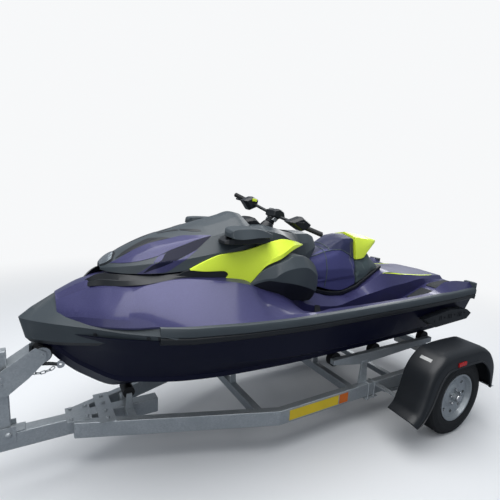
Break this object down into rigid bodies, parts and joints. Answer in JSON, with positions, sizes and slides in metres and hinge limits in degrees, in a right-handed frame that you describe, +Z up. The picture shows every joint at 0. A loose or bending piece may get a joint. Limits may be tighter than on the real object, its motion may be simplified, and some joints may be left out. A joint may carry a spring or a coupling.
{
  "type": "personal watercraft on trailer",
  "caption": "Sit-on personal watercraft, jet driven, with steering, opening front lid and reverse bucket, carried on a galvanised boat trailer with mudguards, roller beams and a jockey wheel.",
  "frame": {"origin": "on the ground, midway from the tail lights to the coupling's nose, on the centre line", "axes": "+X forward to the bow and the coupling, +Y to port, +Z up"},
  "size_m": [4.664, 1.85, 1.6635],
  "materials": {
    "hull_gelcoat": "gloss",
    "deck_gelcoat": "gloss metallic",
    "grey_moulding": "grained",
    "black_moulding": "satin",
    "lime_panel": "gloss",
    "seat_vinyl": "grained vinyl",
    "mat_foam": "ribbed",
    "roller_rubber": "moulded",
    "grip_rubber": "ribbed",
    "galvanised": "hot-dip galvanised",
    "stainless": "polished",
    "cast_aluminium": "cast",
    "engine_iron": "cast",
    "tyre_rubber": "treaded",
    "plate_white": "satin",
    "lamp_red": "gloss"
  },
  "bodies": {
    "craft_on_trailer": {"hull": "hull_gelcoat", "hull_sides": "hull_gelcoat", "deck": "deck_gelcoat", "bin_deck": "deck_gelcoat", "saddle": "deck_gelcoat", "footwell_floors": "deck_gelcoat", "gunwales": "deck_gelcoat", "stern_deck": "deck_gelcoat", "bow_cap": "grey_moulding", "rub_rail": "grey_moulding", "stern_caps": "grey_moulding", "hood_surround": "black_moulding", "console": "grey_moulding", "side_panels": "lime_panel", "knee_pods": "grey_moulding", "seat_base": "black_moulding", "seat": "seat_vinyl", "seat_back": "lime_panel", "mats": "mat_foam", "sponsons": "black_moulding", "pump_housing": "cast_aluminium", "ride_plate": "black_moulding", "intake_grate": "cast_aluminium", "eyes": "stainless", "drawbar": "galvanised", "side_rails": "galvanised", "cross_members": "galvanised", "coupling": "galvanised", "winch_post": "galvanised", "winch": "galvanised", "bow_roller": "roller_rubber", "keel_rollers": "roller_rubber", "roller_brackets": "galvanised", "side_rollers": "roller_rubber", "rocker_beams": "galvanised", "axle": "galvanised", "leaf_springs": "galvanised", "mudguards": "black_moulding", "guard_arms": "galvanised", "tail_lights": "lamp_red", "number_plate": "plate_white", "jockey_bracket": "galvanised", "engine_block": "engine_iron"},
    "steering": {"handlebar": "black_moulding", "grips": "grip_rubber", "control_pods": "black_moulding"},
    "front_lid": {"hood": "grey_moulding", "mirrors": "black_moulding"},
    "glovebox": {"glovebox_lid": "black_moulding"},
    "nozzle": {"steering_nozzle": "black_moulding"},
    "bucket": {"reverse_bucket": "black_moulding"},
    "impeller": {"impeller": "stainless"},
    "wheel_port": {"rim_port": "galvanised", "tyre_port": "tyre_rubber"},
    "wheel_starboard": {"rim_starboard": "galvanised", "tyre_starboard": "tyre_rubber"},
    "jockey_leg": {"jockey_tube": "galvanised"},
    "jockey_stem": {"jockey_stem": "galvanised"},
    "jockey_castor": {"jockey_fork": "galvanised"},
    "jockey_wheel": {"jockey_wheel": "roller_rubber"}
  },
  "joints": [
    {"name": "steering_turn", "type": "hinge", "parent": "craft_on_trailer", "child": "steering", "pos_m": [-0.536, 0, 1.531], "axis": [-0.5736, 0, 0.8192], "range_deg": [-60, 0]},
    {"name": "nozzle_turn", "type": "hinge", "parent": "craft_on_trailer", "child": "nozzle", "pos_m": [-2.086, 0, 0.577], "axis": [0, 0, 1], "range_deg": [0, 40]},
    {"name": "bucket_tilt", "type": "hinge", "parent": "craft_on_trailer", "child": "bucket", "pos_m": [-2.086, 0, 0.597], "axis": [0, 1, 0], "range_deg": [-52, 0]},
    {"name": "impeller_spin", "type": "hinge", "parent": "craft_on_trailer", "child": "impeller", "pos_m": [-1.906, 0, 0.577], "axis": [1, 0, 0], "continuous": true},
    {"name": "front_lid_lift", "type": "hinge", "parent": "craft_on_trailer", "child": "front_lid", "pos_m": [0.632, 0, 1.215], "axis": [0, 1, 0], "range_deg": [0, 50]},
    {"name": "glovebox_lift", "type": "hinge", "parent": "craft_on_trailer", "child": "glovebox", "pos_m": [-0.542, 0, 1.3449], "axis": [0, 1, 0], "range_deg": [0, 75]},
    {"name": "wheel_port_spin", "type": "hinge", "parent": "craft_on_trailer", "child": "wheel_port", "pos_m": [-1.631, 0.813, 0.29], "axis": [0, 1, 0], "continuous": true},
    {"name": "wheel_starboard_spin", "type": "hinge", "parent": "craft_on_trailer", "child": "wheel_starboard", "pos_m": [-1.631, -0.813, 0.29], "axis": [0, 1, 0], "continuous": true},
    {"name": "jockey_swing", "type": "hinge", "parent": "craft_on_trailer", "child": "jockey_leg", "pos_m": [1.814, 0.152, 0.282], "axis": [0, 1, 0], "range_deg": [0, 90]},
    {"name": "jockey_lift", "type": "slide", "parent": "jockey_leg", "child": "jockey_stem", "axis": [0, 0, 1], "range_m": [-0.15, 0.035]},
    {"name": "jockey_castor", "type": "hinge", "parent": "jockey_stem", "child": "jockey_castor", "pos_m": [1.814, 0.152, 0.18], "axis": [0, 0, 1], "continuous": true},
    {"name": "jockey_wheel_spin", "type": "hinge", "parent": "jockey_castor", "child": "jockey_wheel", "pos_m": [1.789, 0.152, 0.075], "axis": [0, 1, 0], "continuous": true}
  ],
  "couplings": [
    {"joint": "nozzle_turn", "follows": "steering_turn", "ratio": -0.66667}
  ]
}
